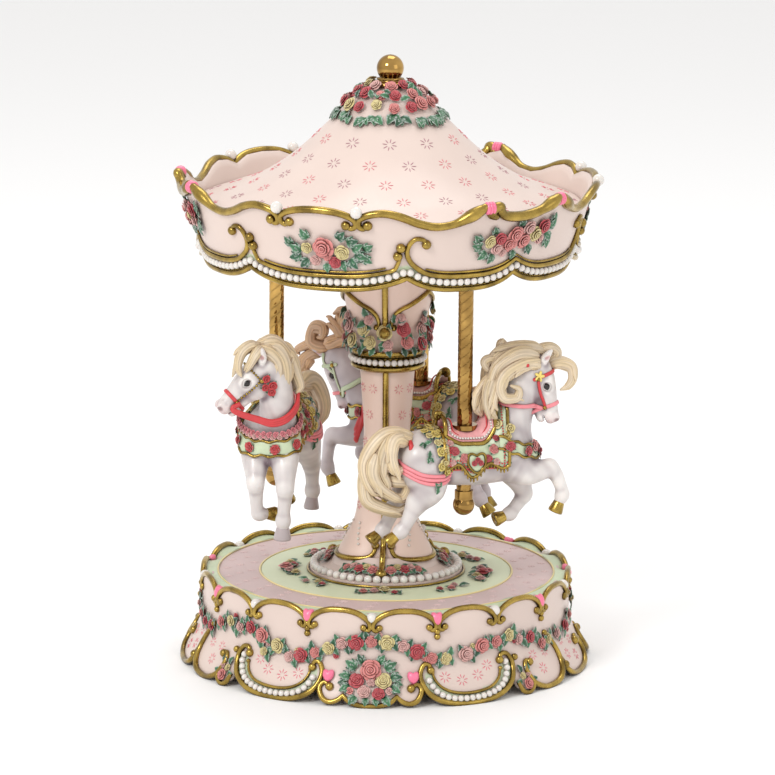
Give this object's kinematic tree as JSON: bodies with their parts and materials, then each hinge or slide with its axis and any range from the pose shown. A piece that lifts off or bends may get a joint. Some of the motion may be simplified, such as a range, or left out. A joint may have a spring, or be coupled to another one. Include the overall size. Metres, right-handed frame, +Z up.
{
  "type": "carousel_music_box",
  "caption": "Painted resin carousel music box: scalloped base with wind-up movement, waisted column, rising horses on twisted brass poles, turning witch-hat canopy with roses and pearls",
  "frame": {"origin": "on the floor, on the axis of the centre column and drive shaft", "axes": "+Z up along the drive shaft, -Y towards the front, +X to the front's right"},
  "size_m": [0.2051, 0.2048, 0.2945],
  "materials": {
    "pink_resin": "cast resin painted pale pink, satin",
    "deck_paint": "cast resin painted dusky pink with embossed flowers",
    "green_inlay": "cast resin painted pale green",
    "gold_paint": "antique gold paint, worn dark in the recesses",
    "pearl": "pearl lacquer",
    "pink_bead": "pink enamel",
    "rose_paint": "hand painted roses and leaves",
    "horse_resin": "off-white resin, satin",
    "saddle_paint": "hand painted saddle and blanket",
    "polished_brass": "polished brass",
    "steel": "plated steel",
    "movement_brass": "machined brass",
    "board": "black moulded board"
  },
  "bodies": {
    "base": {"base_skirt": "pink_resin", "deck_plate": "deck_paint", "deck_inlay": "green_inlay", "deck_rose_sprays": "rose_paint", "bottom_plate": "board", "bottom_screws": "steel", "base_arch_trim": "gold_paint", "base_pearls": "pearl", "base_rim_hearts": "pink_bead", "base_rose_garland": "rose_paint", "base_bouquets": "rose_paint", "base_crescent_trim": "gold_paint", "base_lower_trim": "gold_paint", "column_foot": "pink_resin", "foot_pearls": "pearl", "column_shaft": "pink_resin", "column_trims": "gold_paint", "column_pearls": "pearl", "column_ring_trim": "gold_paint", "column_rose_wreath": "rose_paint", "column_screws": "steel", "shaft_bushes": "movement_brass", "lift_cam": "board", "movement_bedplate": "movement_brass", "music_comb": "steel", "comb_screws": "steel", "governor_frame": "movement_brass"},
    "carousel": {"canopy_shell": "pink_resin", "canopy_rim_trim": "gold_paint", "canopy_lower_trim": "gold_paint", "canopy_pearl_string": "pearl", "canopy_rim_pearls": "pearl", "canopy_rim_hearts": "pink_bead", "canopy_bouquets": "rose_paint", "roof_shell": "pink_resin", "roof_rose_wreath": "rose_paint", "finial": "polished_brass", "ceiling_plate": "pink_resin", "pole_bushes": "movement_brass", "drive_shaft": "steel", "drive_hub": "movement_brass", "spring_barrel": "movement_brass"},
    "drum": {"music_drum": "movement_brass"},
    "governor": {"governor_fan": "steel"},
    "key": {"winding_key": "steel"},
    "rider_1": {"horse_1": "horse_resin", "saddle_1": "saddle_paint", "pole_1": "polished_brass", "pole_fittings_1": "polished_brass", "follower_1": "movement_brass"},
    "rider_2": {"horse_2": "horse_resin", "saddle_2": "saddle_paint", "pole_2": "polished_brass", "pole_fittings_2": "polished_brass", "follower_2": "movement_brass"},
    "rider_3": {"horse_3": "horse_resin", "saddle_3": "saddle_paint", "pole_3": "polished_brass", "pole_fittings_3": "polished_brass", "follower_3": "movement_brass"}
  },
  "joints": [
    {"name": "carousel_spin", "type": "hinge", "parent": "base", "child": "carousel", "pos_m": [0, 0, 0.1], "axis": [0, 0, 1], "continuous": true},
    {"name": "horse_1_lift", "type": "slide", "parent": "carousel", "child": "rider_1", "axis": [0, 0, 1], "range_m": [-0.0079, 0.0001]},
    {"name": "horse_2_lift", "type": "slide", "parent": "carousel", "child": "rider_2", "axis": [0, 0, 1], "range_m": [-0.003, 0.005]},
    {"name": "horse_3_lift", "type": "slide", "parent": "carousel", "child": "rider_3", "axis": [0, 0, 1], "range_m": [-0.0011, 0.0069]},
    {"name": "drum_spin", "type": "hinge", "parent": "base", "child": "drum", "pos_m": [0.03, 0, 0.0311], "axis": [1, 0, 0], "continuous": true},
    {"name": "governor_spin", "type": "hinge", "parent": "base", "child": "governor", "pos_m": [0.048, -0.007, 0.03], "axis": [0, 0, 1], "continuous": true},
    {"name": "key_turn", "type": "hinge", "parent": "base", "child": "key", "pos_m": [0, 0, 0.01], "axis": [0, 0, 1], "continuous": true}
  ],
  "couplings": [
    {"joint": "drum_spin", "follows": "carousel_spin", "ratio": 6},
    {"joint": "governor_spin", "follows": "carousel_spin", "ratio": 36}
  ]
}
